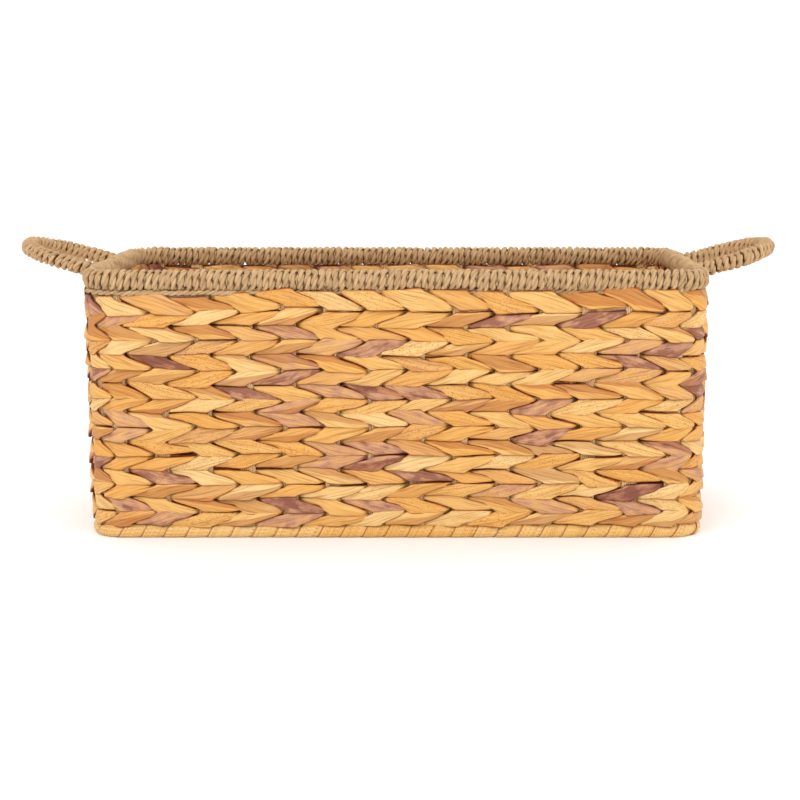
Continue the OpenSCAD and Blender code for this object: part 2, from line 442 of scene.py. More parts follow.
# %% Random numbers for each leaf
OTHER_DRAW = 7.0  # sets the draws for size apart from those for colour


def dice(turns, strip, low):
    """Three random numbers for each turn of a strip, which change over half way round."""
    whole = put(twine, MATH, [turns], operation="FLOOR")
    blend = put(twine, MATH, [turns], operation="FRACT")
    blend = put(twine, RANGE, [blend, 0.42, 0.58], **SMOOTH)
    around = put(twine, MATH, [take["Stakes"], 2.0], operation="DIVIDE")
    rolls = []
    for later in (0.0, 1.0):
        count = put(twine, MATH, [whole, later], operation="ADD")
        count = put(twine, MATH, [count, around], operation="MODULO")
        count = put(twine, MATH, [strip, 1000.0, count], operation="MULTIPLY_ADD")
        draw = {0: low, "ID": count, "Seed": take["Seed"]}
        rolls.append(put(twine, "FunctionNodeRandomValue", draw, **ARROW))
    return put(twine, MIX, {0: blend, 4: rolls[0], 5: rolls[1]}, data_type="VECTOR").outputs[1]


turns = put(twine, MATH, [beat, 2.0], operation="DIVIDE")
turns_inside = put(twine, MATH, [turns, 0.5], operation="ADD")
leaf = dice(turns, which, (0.0, 0.0, 0.0))
leaf_inside = dice(turns_inside, which, (0.0, 0.0, 0.0))
which = put(twine, MATH, [which, OTHER_DRAW], operation="ADD")
spread = dice(turns, which, (-1.0, -1.0, -1.0))
for name, value, kind in (
        ("up", up, ARROWS), ("centre", here, ARROWS), ("leaf", leaf, ARROWS),
        ("leaf_inside", leaf_inside, ARROWS), ("spread", spread, ARROWS),
        ("along", length, NUMBERS), ("beat", swayed, NUMBERS)):
    kept = put(twine, STORE, {"Geometry": kept, "Name": name, "Value": value}, **kind)
print("random numbers for each leaf:", 3 * 3)

# %% [markdown]
# A tube is drawn round the path. Its own shape doesn't matter, only which point is which, because
# the rest of the tree gives each point its place. The ring is a circle pressed towards a box, so
# that a leaf has a broad face and a small round edge.

# %% The tube and where it is in its turn
ring = put(twine, CIRCLE, {"Resolution": take["Points round"], "Radius": 1.0})
ring_x, ring_y, _ = put(twine, XYZ, [here]).outputs
press = []
for part, power in ((ring_x, 0.80), (ring_y, 0.32)):
    size = put(twine, MATH, [part], operation="ABSOLUTE")
    size = put(twine, MATH, [size, power], operation="POWER")
    sign = put(twine, MATH, [part], operation="SIGN")
    press.append(put(twine, MATH, [size, sign], operation="MULTIPLY"))
pressed = put(twine, JOIN, press)
ring = put(twine, STORE, {"Geometry": ring, "Name": "ring", "Value": pressed}, **ARROWS)
tube = put(twine, "GeometryNodeCurveToMesh", {"Curve": kept, "Profile Curve": ring, "Fill Caps": True})

# Gone is 0 in front of the strip's stake and 1 behind the next one. Near is 0 at either stake
# and 0.5 half way between them.
beat = put(twine, NAMED, {"Name": "beat"}, data_type="FLOAT")
turn = put(twine, MATH, [beat, 1.0, -1.0], operation="WRAP")
gone = put(twine, MATH, [turn], operation="ABSOLUTE")
side = put(twine, MATH, [turn, 0.0], operation="GREATER_THAN")
side = put(twine, MATH, [side, 2.0, -1.0], operation="MULTIPLY_ADD")
face = put(twine, MATH, [gone, 0.5], operation="LESS_THAN")
face = put(twine, MATH, [face, 2.0, -1.0], operation="MULTIPLY_ADD")
near = put(twine, MATH, [gone, 0.5], operation="PINGPONG")

spread = put(twine, NAMED, {"Name": "spread"}, **ARROW)
more_height, more_lift, more_bulge = put(twine, XYZ, [spread]).outputs
more_tilt = put(twine, MATH, [more_height, more_bulge], operation="ADD")
more_tilt = put(twine, MATH, [more_tilt, 3.0], operation="MULTIPLY")
more_tilt = put(twine, MATH, [more_tilt, 1.0, -1.0], operation="WRAP")
ring = put(twine, NAMED, {"Name": "ring"}, **ARROW)
ring_across, ring_out, _ = put(twine, XYZ, [ring]).outputs
print("nodes so far:", len(twine.nodes))

# %% [markdown]
# A leaf has its full height in front of the stake. Where the slanted seam begins it is cut away
# along the seam, and its neighbour takes the rest of the row.

# %% A leaf's height
height = put(twine, MATH, [more_height, take["Height spread"], 1.0], operation="MULTIPLY_ADD")
height = put(twine, MATH, [height, take["Leaf height"]], operation="MULTIPLY")
height = put(twine, MATH, [height, take["Belly"]], operation="MULTIPLY")
nearness = put(twine, MATH, [ring_out, face], operation="MULTIPLY")
nearness = put(twine, MATH, [nearness, 0.5, 0.5], operation="MULTIPLY_ADD")
wedge = put(twine, RANGE, [near, 0.06, 0.26], **SMOOTH)
seams = []
edges = []
for reach in (near, put(twine, MATH, [1.0, near], operation="SUBTRACT")):
    seam = put(twine, RANGE, {0: reach, 1: take["Seam start"], 2: take["Seam end"]})
    seam = put(twine, MATH, [seam, take["Curve"]], operation="POWER")
    seam = put(twine, MATH, [seam, SEAM_RUN, 1.0], operation="MULTIPLY_ADD")
    seams.append(put(twine, MATH, [seam, height], operation="MULTIPLY"))
    edge = put(twine, MATH, [reach, reach], operation="MULTIPLY")
    edge = put(twine, MATH, [edge, NARROWING, 1.0], operation="MULTIPLY_ADD")
    edges.append(put(twine, MATH, [edge, height], operation="MULTIPLY"))
far_cut = put(twine, MIX, {0: wedge, 2: seams[0], 3: seams[1]}, data_type="FLOAT")
cut = put(twine, MIX, {0: nearness, 2: far_cut, 3: seams[0]}, data_type="FLOAT")
far_edge = put(twine, MIX, {0: wedge, 2: edges[0], 3: edges[1]}, data_type="FLOAT")
edge = put(twine, MIX, {0: nearness, 2: far_edge, 3: edges[0]}, data_type="FLOAT")
share = put(twine, MATH, [ring_across, side], operation="MULTIPLY")
share = put(twine, MATH, [share, 0.5, 0.5], operation="MULTIPLY_ADD")
rise = put(twine, MATH, [cut, edge], operation="ADD")
rise = put(twine, MATH, [rise, share], operation="MULTIPLY")
rise = put(twine, MATH, [rise, edge], operation="SUBTRACT")
rise = put(twine, MATH, [rise, side], operation="MULTIPLY")
print("nodes so far:", len(twine.nodes))

# %% [markdown]
# In front of a stake the strip reaches from the stake to the leaf's face. Where the two strips
# cross, each goes right through the wall, from its front to its back.

# %% A leaf's depth
full_depth = put(twine, MATH, [take["Stake radius"], take["Leaf depth"]], operation="ADD")
crossing = take["Crossing depth"]
near_depth = put(twine, RANGE, {0: near, 1: 0.22, 2: 0.5, 3: full_depth, 4: crossing}, **SMOOTH)
behind = put(twine, MATH, [crossing, -1.0], operation="MULTIPLY")
far_depth = put(twine, RANGE, {0: near, 1: 0.08, 2: 0.32, 3: take["Stake radius"], 4: behind}, **SMOOTH)
depth = put(twine, MIX, {0: nearness, 2: far_depth, 3: near_depth}, data_type="FLOAT")
depth = put(twine, MATH, [depth, face], operation="MULTIPLY")
# The end of a leaf lies over the start of the next one.
over = put(twine, RANGE, [near, 0.15, 0.45], **SMOOTH)
over = put(twine, MATH, [over, take["Overlap"]], operation="MULTIPLY")
depth = put(twine, MATH, [over, side, depth], operation="MULTIPLY_ADD")
in_front = put(twine, RANGE, [gone, 0.65, 0.85, 1.0, 0.0], **SMOOTH)
bulge = put(twine, MATH, [more_bulge, take["Bulge spread"]], operation="MULTIPLY")
depth = put(twine, MATH, [in_front, bulge, depth], operation="MULTIPLY_ADD")
# Each leaf tips a little, so one edge stands over the row beside it.
tilt = put(twine, MATH, [take["Lean"], take["Tilt"]], operation="MULTIPLY")
tilt = put(twine, MATH, [more_tilt, take["Tilt spread"], tilt], operation="MULTIPLY_ADD")
depth = put(twine, MATH, [tilt, rise, depth], operation="MULTIPLY_ADD")
print("nodes so far:", len(twine.nodes))

# %% [markdown]
# The material has to know the way of the fibres, which run straight along each leaf. So their
# count is taken across its slant, and stored with the place across and the seams. Then every
# point moves to its place.

# %% Fibres and places
outside = put(twine, MATH, [ring_out, 0.0], operation="GREATER_THAN")
facing = put(twine, MATH, [outside, 2.0, -1.0], operation="MULTIPLY_ADD")
ahead = put(twine, MATH, [beat, 1.0], operation="ADD")
ahead = put(twine, MATH, [ahead, 1.0, -1.0], operation="WRAP")
ahead = put(twine, MIX, {0: outside, 2: ahead, 3: turn}, data_type="FLOAT")
slant = put(twine, MATH, [take["Leaf height"], 1.5], operation="MULTIPLY")
slant = put(twine, MATH, [slant, facing], operation="MULTIPLY")
fibre = put(twine, MATH, [ahead, slant, rise], operation="MULTIPLY_ADD")

rise = put(twine, MATH, [rise, take["Lean"]], operation="MULTIPLY")
rise = put(twine, MATH, [more_lift, take["Lift spread"], rise], operation="MULTIPLY_ADD")
centre = put(twine, NAMED, {"Name": "centre"}, **ARROW)
wave = put(twine, NOISE, {"Vector": centre, "Scale": 22.0, "Detail": 1.0})
wave = put(twine, MATH, [wave, 0.5], operation="SUBTRACT")
rise = put(twine, MATH, [wave, take["Sag"], rise], operation="MULTIPLY_ADD")
up = put(twine, NAMED, {"Name": "up"}, **ARROW)
out = put(twine, NAMED, {"Name": "out"}, **ARROW)
goal = put(twine, VECTOR, {0: up, "Scale": rise}, operation="SCALE")
goal = put(twine, VECTOR, [goal, centre], operation="ADD")
push = put(twine, VECTOR, {0: out, "Scale": depth}, operation="SCALE")
goal = put(twine, VECTOR, [goal, push], operation="ADD")
inside = put(twine, MATH, [ring_out, -0.01], operation="LESS_THAN")
leaf = put(twine, NAMED, {"Name": "leaf"}, **ARROW)
leaf_inside = put(twine, NAMED, {"Name": "leaf_inside"}, **ARROW)
leaf = put(twine, MIX, {0: inside, 4: leaf, 5: leaf_inside}, data_type="VECTOR").outputs[1]
tube = put(twine, STORE, {"Geometry": tube, "Name": "leaf", "Value": leaf}, **ARROWS)
# The seam number rises towards one edge of a leaf, away from its stake. Where it is high, the material
# paints shade along the seams between leaves.
seam = put(twine, RANGE, [gone, 0.02, 0.12], **SMOOTH)
seam = put(twine, MATH, [seam, share], operation="MULTIPLY")
for name, value in (("across", ring_across), ("fibre", fibre), ("seam", seam)):
    tube = put(twine, STORE, {"Geometry": tube, "Name": name, "Value": value}, **NUMBERS)
tube = put(twine, "GeometryNodeSetPosition", {"Geometry": tube, "Position": goal})
close_tree(twine, tube, take["Finish"])
print("twining nodes:", len(twine.nodes))

# %% [markdown]
# ## The walls
# Sixteen rows, from the strand under the rim down to the base edge. Each row's height comes from
# its CAD node, and each has its own seed, so no two rows are alike.

# %% Wall rows
WALL_ROWS = 16
POINTS_PER_GAP = 20
HALF_ROW = 0.51  # a little over half of the row's height, so that rows press together
TOP_DROP = 0.3 * MM  # the top row lies this much lower where the locking strand shows
TOP_RISE = 3.0 * MM  # and rises this much from there to where it hides the strand
TOP_EXTRA = 1.5 * MM  # added to half its height, so that it closes up to the rim
SHOWN_TO = -0.125  # left of this the strand shows
HIDE_OVER = 0.05  # and over this length it goes into hiding


def cover(place):
    """How far the top row hides the locking strand: 0 at the front left, where it shows, else 1."""
    return min(max((place.x - SHOWN_TO) / HIDE_OVER, 0.0), 1.0) if place.y < -straight_y else 1.0


def raised(place, out, beat):
    """The top row reaches up to the rim wherever it hides the locking strand."""
    return place + Vector((0, 0, TOP_RISE * cover(place) - TOP_DROP)), out, beat


for row in range(1, WALL_ROWS + 1):
    node = f"wall_row_{row:02d}"
    low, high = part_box(node)
    points = loop_points((low.z + high.z) / 2, POINTS_PER_GAP)
    height = (high.z - low.z) * HALF_ROW
    if row == 1:
        points = [raised(*point) for point in points]
        height += TOP_EXTRA
    piece = grow("twined_" + node, path_mesh(node, points, closed=True), twine, stakes=STAKES,
                 stake_radius=stake_r, leaf_height=height, lean=1.0 if row % 2 else -1.0,
                 seed=row, finish=hyacinth)
    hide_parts(node)
print("wall rows:", WALL_ROWS, "of", len(piece.data.polygons), "faces each")

# %% [markdown]
# ## The base
# The base is twined in the same way, flat, round the cross stakes. Its rows run from end to end,
# and out of the basket is down.

# %% Base rows
BASE_ROWS = 17
CROSS_STAKES = 13
BASE_POINTS = 14
# The base lies flat under its own weight, so its strips are thinner and vary less.
BASE_SIZES = {"stake_radius": 0.0014, "leaf_depth": 0.0022, "crossing_depth": 0.0032,
              "bulge_spread": 0.0003, "lift_spread": 0.0002, "sag": 0.0006, "points_round": 12}
for row in range(1, BASE_ROWS + 1):
    node = f"base_row_{row:02d}"
    low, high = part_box(node)
    middle = Vector(((low.x + high.x) / 2, (low.y + high.y) / 2, (low.z + high.z) / 2))
    half = (high.x - low.x) / 2
    steps = round(2 * half / pitch * BASE_POINTS)
    points = []
    for step in range(steps + 1):
        x = -half + 2 * half * step / steps
        points.append((middle + Vector((x, 0, 0)), Vector((0, 0, -1)), x / pitch + CROSS_STAKES + 1))
    piece = grow("twined_" + node, path_mesh(node, points, closed=False), twine,
                 stakes=2 * CROSS_STAKES, leaf_height=(high.y - low.y) * HALF_ROW,
                 lean=1.0 if row % 2 else -1.0, seed=100 + row, finish=hyacinth, **BASE_SIZES)
    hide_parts(node)
print("base rows:", BASE_ROWS, "of", len(piece.data.polygons), "faces each")

# %% [markdown]
# ## Dried seagrass cord
# The rim and handles are wound with cord: seagrass twisted into plies, and three plies twisted
# into a cord about 5 mm thick. Seagrass dries to a dull khaki beige with a few green and brown
# blades, and it is matt, with loose fine ribs along each ply.


# %% Seagrass material
seagrass, tree, shader = new_material("dried seagrass cord")
along = put(tree, TRAIT, attribute_name="along").outputs["Fac"]
across = put(tree, TRAIT, attribute_name="across").outputs["Fac"]
leaf = put(tree, TRAIT, attribute_name="leaf").outputs["Vector"]
ply, hollow, _ = put(tree, XYZ, [leaf]).outputs
run = put(tree, MATH, [along, 1000.0], operation="MULTIPLY")
breadth = put(tree, MATH, [across, 6.0], operation="MULTIPLY")
page = put(tree, MATH, [ply, 300.0], operation="MULTIPLY")
strand_space = put(tree, JOIN, [run, breadth, page])
# Whole turns differ a little: one turn takes about 31 mm of cord.
turn_space = put(tree, VECTOR, [strand_space, (0.022, 0.0, 1.0)], operation="MULTIPLY")
turn_tone = put(tree, NOISE, {"Vector": turn_space, "Scale": 1.0, "Detail": 2.0, "Roughness": 0.7})
blade_space = put(tree, VECTOR, [strand_space, (0.12, 0.9, 1.0)], operation="MULTIPLY")
blades = put(tree, NOISE, {"Vector": blade_space, "Scale": 1.0, "Detail": 3.0})
mixed = put(tree, MATH, [blades, 0.55, put(tree, MATH, [turn_tone, 0.45], operation="MULTIPLY")],
            operation="MULTIPLY_ADD")
body = put(tree, RAMP, [mixed], stops=[
    (0.26, "#7d7048"), (0.36, "#a88a5e"), (0.46, "#c09b70"), (0.55, "#cfaa7e"), (0.65, "#dec194"),
    (0.76, "#c8946a")])
# Painted shade: the cord is painted darker down in the grooves between plies and turns.
groove_shade = put(tree, RANGE, [hollow, 0.05, 0.60, 0.85, 0.0], **SMOOTH)
shaded = put(tree, MIX, {0: groove_shade, 6: body, 7: linear("#7d6040")}, **TINT)
tree.links.new(shaded.outputs[2], shader.inputs["Base Color"])
rib_space = put(tree, VECTOR, [strand_space, (0.25, 2.6, 1.0)], operation="MULTIPLY")
ribs = put(tree, NOISE, {"Vector": rib_space, "Scale": 1.0, "Detail": 2.0})
bump = put(tree, "ShaderNodeBump", {"Strength": 0.8, "Distance": 0.0006, "Height": ribs})
tree.links.new(bump.outputs[0], shader.inputs["Normal"])
shader.inputs["Roughness"].default_value = 0.72
shader.inputs["Specular IOR Level"].default_value = 0.25
print("seagrass nodes:", len(tree.nodes))

# %% [markdown]
# ## Winding cord
# A cord that winds round a rim is a spiral, and each of its plies is a spiral round that spiral.
# A helix made by hand would be a long list of points. The tree takes the path of the rim instead,
# walks along it, and works out the turn round the rim and the twist of the plies from how far it
# has gone. A little noise keeps the turns from lying too evenly.


# %% The cord tree
winding, take = new_tree("wound cord", {
    "Turns": 80, "Points": 2400, "Twists": 150.0, "Half depth": 0.0068, "Half height": 0.0081,
    "Start": -math.pi / 2, "Wrap": 1.0, "Ply radius": 0.00140, "Ply offset": 0.00125,
    "Straggle": 0.0012, "Loose": 0.0050, "Cord length": 3.2, "Finish": ""})
PLIES = 3
PROUD = 0.25  # how far a loose turn stands out, for each part that it slips along
line = put(winding, "GeometryNodeMeshLine", {"Count": take["Points"]})
line = put(winding, "GeometryNodeMeshToCurve", [line])
plies = put(winding, "GeometryNodeDuplicateElements", {"Geometry": line, "Amount": PLIES},
            domain="SPLINE")
part = put(winding, "GeometryNodeSplineParameter").outputs["Factor"]
base, ahead, out, up = walk_path(winding, take["Path"], part)
turned = put(winding, MATH, [part, take["Turns"]], operation="MULTIPLY")
angle = put(winding, MATH, [turned, math.tau, take["Start"]], operation="MULTIPLY_ADD")
out_share = put(winding, MATH, [angle], operation="COSINE")
up_share = put(winding, MATH, [angle], operation="SINE")
ply_index = plies.outputs["Duplicate Index"]
kept = put(winding, STORE, {"Geometry": plies, "Name": "strand", "Value": ply_index}, **NUMBERS)
ply_index = put(winding, NAMED, {"Name": "strand"}, data_type="FLOAT")
twist = put(winding, MATH, [part, take["Twists"]], operation="MULTIPLY")
twist = put(winding, MATH, [ply_index, 1 / PLIES, twist], operation="MULTIPLY_ADD")
twist = put(winding, MATH, [twist, math.tau], operation="MULTIPLY")
ply_out = put(winding, MATH, [twist], operation="COSINE")
ply_out = put(winding, MATH, [ply_out, take["Ply offset"]], operation="MULTIPLY")
ply_side = put(winding, MATH, [twist], operation="SINE")
ply_side = put(winding, MATH, [ply_side, take["Ply offset"]], operation="MULTIPLY")
# The cord lies inside the rim's outline by its own radius.
cord_radius = put(winding, MATH, [take["Ply offset"], take["Ply radius"]], operation="ADD")
cord_radius = put(winding, MATH, [cord_radius, take["Wrap"]], operation="MULTIPLY")
reach_out = put(winding, MATH, [take["Half depth"], cord_radius], operation="SUBTRACT")
reach_out = put(winding, MATH, [reach_out, out_share], operation="MULTIPLY")
reach_up = put(winding, MATH, [take["Half height"], cord_radius], operation="SUBTRACT")
reach_up = put(winding, MATH, [reach_up, up_share], operation="MULTIPLY")


def shifted(place, direction, amount):
    """A place moved along a direction by an amount."""
    push = put(winding, VECTOR, {0: direction, "Scale": amount}, operation="SCALE")
    return put(winding, VECTOR, [place, push], operation="ADD")


middle = shifted(shifted(base, out, reach_out), up, reach_up)
print("nodes so far:", len(winding.nodes))

# %% [markdown]
# No hand winds cord evenly. Noise crowds and spreads the turns along the rim, makes some stand
# proud, and lets the plies stray in the cord. The material is told how deep between the plies each
# point lies, from 0 at the bottom to 1 on top, and paints shade in the deep parts.

# %% Loose turns, plies and finish
radial = shifted(put(winding, VECTOR, {0: out, "Scale": out_share}, operation="SCALE"), up, up_share)
slack = put(winding, NOISE, {"Vector": middle, "Scale": 75.0, "Detail": 1.0})
slack = put(winding, VECTOR, [slack.outputs["Color"], (0.5, 0.5, 0.5)], operation="SUBTRACT")
slack_along, slack_out, _ = put(winding, XYZ, [slack]).outputs
slack_along = put(winding, MATH, [slack_along, take["Loose"]], operation="MULTIPLY")
slack_out = put(winding, MATH, [slack_out, take["Loose"]], operation="MULTIPLY")
slack_out = put(winding, MATH, [slack_out, PROUD], operation="MULTIPLY")
middle = shifted(shifted(middle, ahead, slack_along), radial, slack_out)
beside = put(winding, MIX, {0: take["Wrap"], 4: up, 5: ahead}, data_type="VECTOR").outputs[1]
stray = put(winding, NOISE, {"Vector": middle, "Scale": 170.0, "Detail": 1.0})
stray = put(winding, VECTOR, [stray.outputs["Color"], (0.5, 0.5, 0.5)], operation="SUBTRACT")
stray_out, stray_side, _ = put(winding, XYZ, [stray]).outputs
ply_out = put(winding, MATH, [stray_out, take["Straggle"], ply_out], operation="MULTIPLY_ADD")
stray_side = put(winding, MATH, [stray_side, 2.0], operation="MULTIPLY")
ply_side = put(winding, MATH, [stray_side, take["Straggle"], ply_side], operation="MULTIPLY_ADD")
place = shifted(shifted(middle, radial, ply_out), beside, ply_side)
gone = put(winding, MATH, [part, take["Cord length"]], operation="MULTIPLY")
for name, value, kind in (("along", gone, NUMBERS), ("up", radial, ARROWS), ("centre", middle, ARROWS)):
    kept = put(winding, STORE, {"Geometry": kept, "Name": name, "Value": value}, **kind)
kept = put(winding, "GeometryNodeSetPosition", {"Geometry": kept, "Position": place})
here = put(winding, "GeometryNodeInputPosition")
ring_x, ring_y, _ = put(winding, XYZ, [here]).outputs
ring = put(winding, CIRCLE, {"Resolution": 8, "Radius": take["Ply radius"]})
spin = put(winding, MATH, [ring_y, ring_x], operation="ARCTAN2")
spin = put(winding, MATH, [spin], operation="SINE")
ring = put(winding, STORE, {"Geometry": ring, "Name": "across", "Value": spin}, **NUMBERS)
tube = put(winding, "GeometryNodeCurveToMesh", {"Curve": kept, "Profile Curve": ring, "Fill Caps": True})
radial = put(winding, NAMED, {"Name": "up"}, **ARROW)
centre = put(winding, NAMED, {"Name": "centre"}, **ARROW)
above = put(winding, VECTOR, [here, centre], operation="SUBTRACT")
above = put(winding, VECTOR, [above, radial], operation="DOT_PRODUCT").outputs["Value"]
highest = put(winding, MATH, [take["Ply radius"], take["Ply offset"]], operation="ADD")
above = put(winding, RANGE, {0: above, 1: 0.0, 2: highest, 3: 0.0, 4: 1.0})
ply_index = put(winding, NAMED, {"Name": "strand"}, data_type="FLOAT")
leaf = put(winding, JOIN, [ply_index, above])
tube = put(winding, STORE, {"Geometry": tube, "Name": "leaf", "Value": leaf}, **ARROWS)
close_tree(winding, tube, take["Finish"])
print("cord nodes:", len(winding.nodes))

# %% [markdown]
# ## The rim
# The cord goes round the rim about 250 times. It is made in four lengths, front, right, back and
# left, so that no mesh is too heavy. Each length ends under the rim, where the next one starts.

# %% Rim cord
CORD_PITCH = 4.9 * MM
CORD_WIDTH = 5.0 * MM
TWISTS_PER_TURN = 1.7
POINTS_PER_TURN = 28
RIM_POINTS = 12  # path points from one stake to the next
EVEN = 0.005  # the reach of the noise that makes turns slip along the rim
UNEVEN = 0.011  # the same at the ends


def wind(name, points, half_depth, half_height, loose=EVEN):
    """Winds cord along a path of points, with whole turns, and returns the piece."""
    turns = round(path_length(points) / CORD_PITCH)
    round_once = math.pi * (half_depth + half_height - CORD_WIDTH)
    print(name, turns, "turns of", round(round_once / MM), "mm")
    return grow(name, path_mesh(name, points, closed=False), winding, turns=turns,
                points=turns * POINTS_PER_TURN + 1, twists=turns * TWISTS_PER_TURN,
                half_depth=half_depth, half_height=half_height, loose=loose,
                cord_length=turns * round_once, finish=seagrass)


low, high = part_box("rim_wrap")
rim_depth = high.y - mid_y
rim_height = (high.z - low.z) / 2
loop = loop_points(rim_z, RIM_POINTS)
loop.append(loop[0])
stops = {"front": 0, "right": LONG_STAKES + 1, "back": LONG_STAKES + END_STAKES + 2,
         "left": 2 * LONG_STAKES + END_STAKES + 3, "end": STAKES}
names = list(stops)
for name, following in zip(names, names[1:]):
    points = loop[stops[name] * RIM_POINTS:stops[following] * RIM_POINTS + 1]
    # The ends are wound less evenly, because the handles are in the way.
    loose = EVEN if name in ("front", "back") else UNEVEN
    piece = wind("rim_cord_" + name, points, rim_depth, rim_height, loose)
    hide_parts("rim_wrap")
print("rim cord:", len(piece.data.polygons), "faces on an end")

# %% [markdown]
# ## The handles
# Each handle is a rod bent to a U and wound with the same cord. The path follows the rod: a leg,
# half a circle, and a leg back. Its slope comes from the rod's reach and rise.

# %% Handle cord
ROD_RADIUS = 2.0 * MM
LEG_STEPS = 8
BOW_STEPS = 48
for name, way in (("left", -1), ("right", 1)):
    node = "frame_handle_" + name
    low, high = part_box(node)
    radius = (high.y - low.y) / 2 - ROD_RADIUS
    reach_x = max(abs(low.x), abs(high.x)) - ROD_RADIUS - mid_x
    reach_z = high.z - ROD_RADIUS - rim_z
    reach = math.hypot(reach_x, reach_z)
    ahead = Vector((way * reach_x, 0, reach_z)) / reach
    away = Vector((0, way, 0)).cross(ahead)
    root = Vector((way * mid_x, 0, rim_z))
    leg = reach - radius
    stations = [(-radius, leg * k / LEG_STEPS) for k in range(1, LEG_STEPS)]
    for k in range(BOW_STEPS + 1):
        bend = k * math.pi / BOW_STEPS
        stations.append((-radius * math.cos(bend), leg + radius * math.sin(bend)))
    stations += [(radius, leg * (LEG_STEPS - k) / LEG_STEPS) for k in range(1, LEG_STEPS)]
    points = [(root + Vector((0, s, 0)) + ahead * d, away, 0.0) for s, d in stations]
    wrap_low, wrap_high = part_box("handle_wrap_" + name)
    half = (wrap_high.y - wrap_low.y) / 2 - radius
    piece = wind("handle_cord_" + name, points, half, half)
    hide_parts("handle_wrap_" + name)
print("handle leg", round(leg / MM, 1), "mm, bow", round(radius / MM, 1), "mm")

# %% [markdown]
# ## The locking strand
# One thin length of the cord runs round just under the rim and holds the first row up. It lies
# flat on the wall, so it doesn't wind: the tree gets no turns, and only twists its plies.

# %% Locking strand
STRAND_LIFT = 1.3 * MM
STRAND_TUCK = 2.5  # millimetres further in, where the top row hides it
STRAND_LAY = 15 * MM  # one full twist of the plies
STRAND_STEP = 1.2 * MM
low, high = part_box("rim_binding")
points = loop_points((low.z + high.z) / 2 + STRAND_LIFT, RIM_POINTS)
length = path_length(points)
points = [(place - out * cover(place) * STRAND_TUCK * MM, out, beat) for place, out, beat in points]
points.append(points[0])
piece = grow("locking_strand", path_mesh("locking_strand", points, closed=False), winding, turns=0,
             points=round(length / STRAND_STEP), twists=float(round(length / STRAND_LAY)),
             half_depth=0.0030, start=0.0, wrap=0.0, ply_radius=0.0011, ply_offset=0.0010,
             cord_length=length, finish=seagrass)
print("locking strand faces", len(piece.data.polygons))
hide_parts("rim_binding")

# %% [markdown]
# ## The base edge
# One flat strip of hyacinth is wound round the bottom edge, each turn lapping over the one
# before, about 16 mm further on. A strip of constant width could be bent along a helix, but at the
# corners it would tear, so the tree lays it out in two directions: how far along the edge a point
# lies, and how far round it. The underside is pressed flat where the basket stands.

# %% The wound strip tree
lapping, take = new_tree("lapped strip", {
    "Turns": 75, "Points": 1800, "Strip width": 0.018, "Thickness": 0.0009, "Lap": 0.0008,
    "Radius": 0.0044, "Loop length": 1.2, "Seed": 3, "Finish": ""})
line = put(lapping, "GeometryNodeMeshLine", {"Count": take["Points"]})
line = put(lapping, "GeometryNodeMeshToCurve", [line])
part = put(lapping, "GeometryNodeSplineParameter").outputs["Factor"]
line = put(lapping, STORE, {"Geometry": line, "Name": "along", "Value": part}, **NUMBERS)
here = put(lapping, "GeometryNodeInputPosition")
ring = put(lapping, CIRCLE, {"Resolution": 14, "Radius": 1.0})
ring = put(lapping, STORE, {"Geometry": ring, "Name": "ring", "Value": here}, **ARROWS)
tube = put(lapping, "GeometryNodeCurveToMesh", {"Curve": line, "Profile Curve": ring, "Fill Caps": True})
part = put(lapping, NAMED, {"Name": "along"}, data_type="FLOAT")
ring = put(lapping, NAMED, {"Name": "ring"}, **ARROW)
ring_across, ring_out, _ = put(lapping, XYZ, [ring]).outputs
half_width = put(lapping, MATH, [take["Strip width"], 0.5], operation="MULTIPLY")
sideways = put(lapping, MATH, [ring_across, half_width], operation="MULTIPLY")
slid = put(lapping, MATH, [sideways, take["Loop length"]], operation="DIVIDE")
slid = put(lapping, MATH, [slid, part], operation="ADD")
slid = put(lapping, MATH, [slid], operation="FRACT").outputs[0]
middle, _, out, up = walk_path(lapping, take["Path"], slid)
turned = put(lapping, MATH, [part, take["Turns"]], operation="MULTIPLY")
angle = put(lapping, MATH, [turned, math.tau, -math.pi], operation="MULTIPLY_ADD")
# The hind edge of each turn lies over the fore edge of the turn before.
radius = put(lapping, RANGE, {0: ring_across, 1: -1.0, 2: 1.0, 3: take["Lap"], 4: 0.0})
radius = put(lapping, MATH, [radius, take["Radius"]], operation="ADD")
half_thick = put(lapping, MATH, [take["Thickness"], 0.5], operation="MULTIPLY")
radius = put(lapping, MATH, [ring_out, half_thick, radius], operation="MULTIPLY_ADD")
out_share = put(lapping, MATH, [angle], operation="COSINE")
up_share = put(lapping, MATH, [angle], operation="SINE")
radial = put(lapping, VECTOR, {0: out, "Scale": out_share}, operation="SCALE")
upward = put(lapping, VECTOR, {0: up, "Scale": up_share}, operation="SCALE")
radial = put(lapping, VECTOR, [radial, upward], operation="ADD")
radial = put(lapping, VECTOR, {0: radial, "Scale": radius}, operation="SCALE")
place = put(lapping, VECTOR, [middle, radial], operation="ADD")
x, y, z = put(lapping, XYZ, [place]).outputs
lowest = put(lapping, RANGE, [ring_out, -1.0, 1.0, 0.0004, 0.0])
z = put(lapping, MATH, [z, lowest], operation="MAXIMUM")
place = put(lapping, JOIN, [x, y, z])
# A length of strip lasts for two and a half turns. Its random numbers keep to the plainer tones.
strip_number = put(lapping, MATH, [turned, 2.5], operation="DIVIDE")
strip_number = put(lapping, MATH, [strip_number], operation="FLOOR")
plainest, plainer = (0.0, 0.44, 0.0), (0.45, 0.66, 1.0)
leaf = put(lapping, "FunctionNodeRandomValue",
           {0: plainest, 1: plainer, "ID": strip_number, "Seed": take["Seed"]}, **ARROW)
